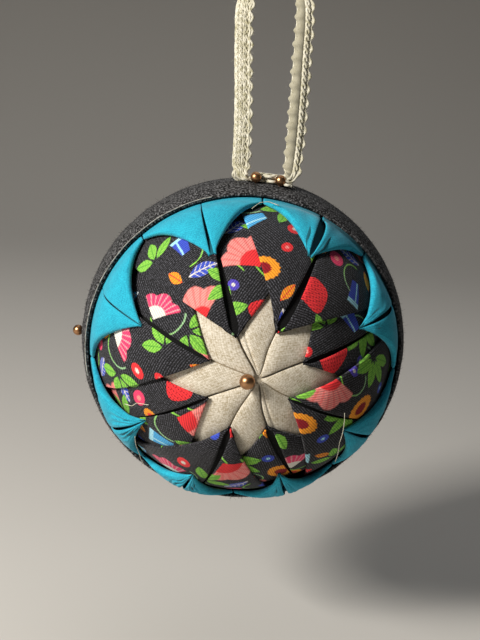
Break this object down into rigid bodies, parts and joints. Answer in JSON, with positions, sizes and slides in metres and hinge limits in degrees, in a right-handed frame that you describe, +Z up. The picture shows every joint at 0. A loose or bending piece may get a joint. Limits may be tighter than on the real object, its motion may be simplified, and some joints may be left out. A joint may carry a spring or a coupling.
{
  "type": "folded cloth star ball ornament",
  "caption": "Ball ornament covered in folded cloth points that form a star on each side, with a band round the middle and a lace hanging loop.",
  "frame": {"origin": "top of the hanging loop, where a hook or nail holds it", "axes": "+Z up, -Y towards the viewer of the front star, +X to that viewer's right"},
  "size_m": [0.0888, 0.083, 0.1399],
  "materials": {
    "ball_cover": "matte cloth over a light filled ball",
    "cream_cloth": "matte plain-woven cotton",
    "print_cloth": "matte cotton twill with a flower print",
    "blue_cloth": "matte plain-woven cotton",
    "black_band": "slightly fuzzy woven band",
    "lace": "crocheted cotton braid",
    "pin_heads": "polished copper colour"
  },
  "bodies": {
    "root": {"ball": "ball_cover", "cream_point_1": "cream_cloth", "cream_point_2": "cream_cloth", "cream_point_3": "cream_cloth", "cream_point_4": "cream_cloth", "print_point_1": "print_cloth", "print_point_2": "print_cloth", "print_point_3": "print_cloth", "print_point_4": "print_cloth", "print_point_5": "print_cloth", "print_point_6": "print_cloth", "print_point_7": "print_cloth", "print_point_8": "print_cloth", "blue_point_1": "blue_cloth", "blue_point_2": "blue_cloth", "blue_point_3": "blue_cloth", "blue_point_4": "blue_cloth", "blue_point_5": "blue_cloth", "blue_point_6": "blue_cloth", "blue_point_7": "blue_cloth", "blue_point_8": "blue_cloth", "back_cream_point_1": "cream_cloth", "back_cream_point_2": "cream_cloth", "back_cream_point_3": "cream_cloth", "back_cream_point_4": "cream_cloth", "back_print_point_1": "print_cloth", "back_print_point_2": "print_cloth", "back_print_point_3": "print_cloth", "back_print_point_4": "print_cloth", "back_print_point_5": "print_cloth", "back_print_point_6": "print_cloth", "back_print_point_7": "print_cloth", "back_print_point_8": "print_cloth", "back_blue_point_1": "blue_cloth", "back_blue_point_2": "blue_cloth", "back_blue_point_3": "blue_cloth", "back_blue_point_4": "blue_cloth", "back_blue_point_5": "blue_cloth", "back_blue_point_6": "blue_cloth", "back_blue_point_7": "blue_cloth", "back_blue_point_8": "blue_cloth", "band": "black_band", "lace_loop": "lace", "pin_centre": "pin_heads", "pin_back": "pin_heads", "pin_side": "pin_heads", "pin_loop_1": "pin_heads", "pin_loop_2": "pin_heads"}
  },
  "joints": []
}
